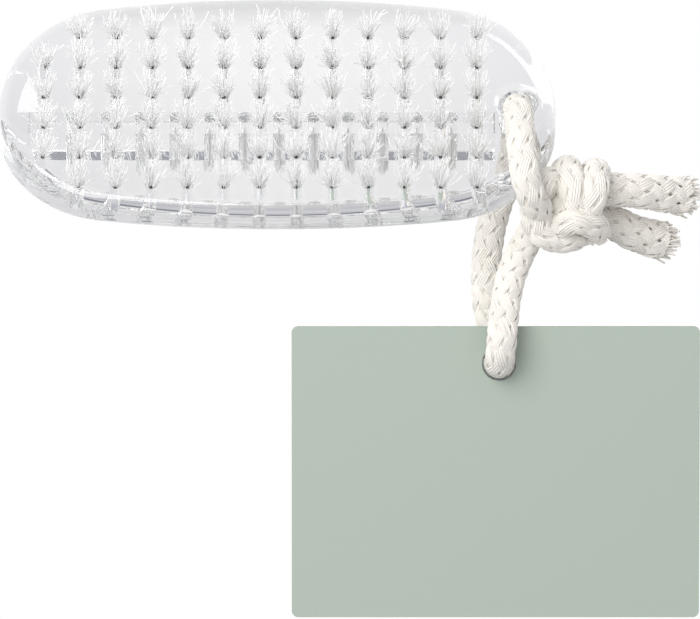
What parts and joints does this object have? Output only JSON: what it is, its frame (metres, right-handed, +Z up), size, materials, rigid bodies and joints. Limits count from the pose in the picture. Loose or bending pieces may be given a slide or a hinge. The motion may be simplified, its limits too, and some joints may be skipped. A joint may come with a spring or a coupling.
{
  "type": "nail brush",
  "caption": "Clear oval nail brush with white nylon tufts on its face and along a bar on its back, a knotted plaited hanging cord and a card hang tag that turns on it.",
  "frame": {"origin": "on the table under the middle of the brush's box, brush lying on one long edge and its back bristles", "axes": "+X along the brush towards the cord hole, +Y towards the long edge that rests on the table, +Z up"},
  "size_m": [0.1294, 0.1122, 0.0331],
  "materials": {
    "clear_acrylic": "polished clear",
    "nylon": "translucent filament",
    "anchor_wire": "drawn wire",
    "cotton_cord": "plaited undyed cotton",
    "card": "uncoated card"
  },
  "bodies": {
    "brush": {"brush_body": "clear_acrylic", "face_tufts_row_1": "nylon", "face_tufts_row_2": "nylon", "face_tufts_row_3": "nylon", "face_tufts_row_4": "nylon", "face_tufts_row_5": "nylon", "face_tufts_row_6": "nylon", "back_tufts_row": "nylon", "face_anchors_row_1": "anchor_wire", "face_anchors_row_2": "anchor_wire", "face_anchors_row_3": "anchor_wire", "face_anchors_row_4": "anchor_wire", "face_anchors_row_5": "anchor_wire", "face_anchors_row_6": "anchor_wire", "back_anchors_row": "anchor_wire", "cord_front": "cotton_cord", "cord_loop": "cotton_cord", "knot": "cotton_cord", "tail_upper": "cotton_cord", "tail_lower": "cotton_cord"},
    "tag": {"hang_tag": "card"}
  },
  "joints": [
    {"name": "tag_swing", "type": "hinge", "parent": "brush", "child": "tag", "pos_m": [0.0402, -0.0451, 0.0092], "axis": [0, 0, 1], "range_deg": [-40, 20]}
  ]
}
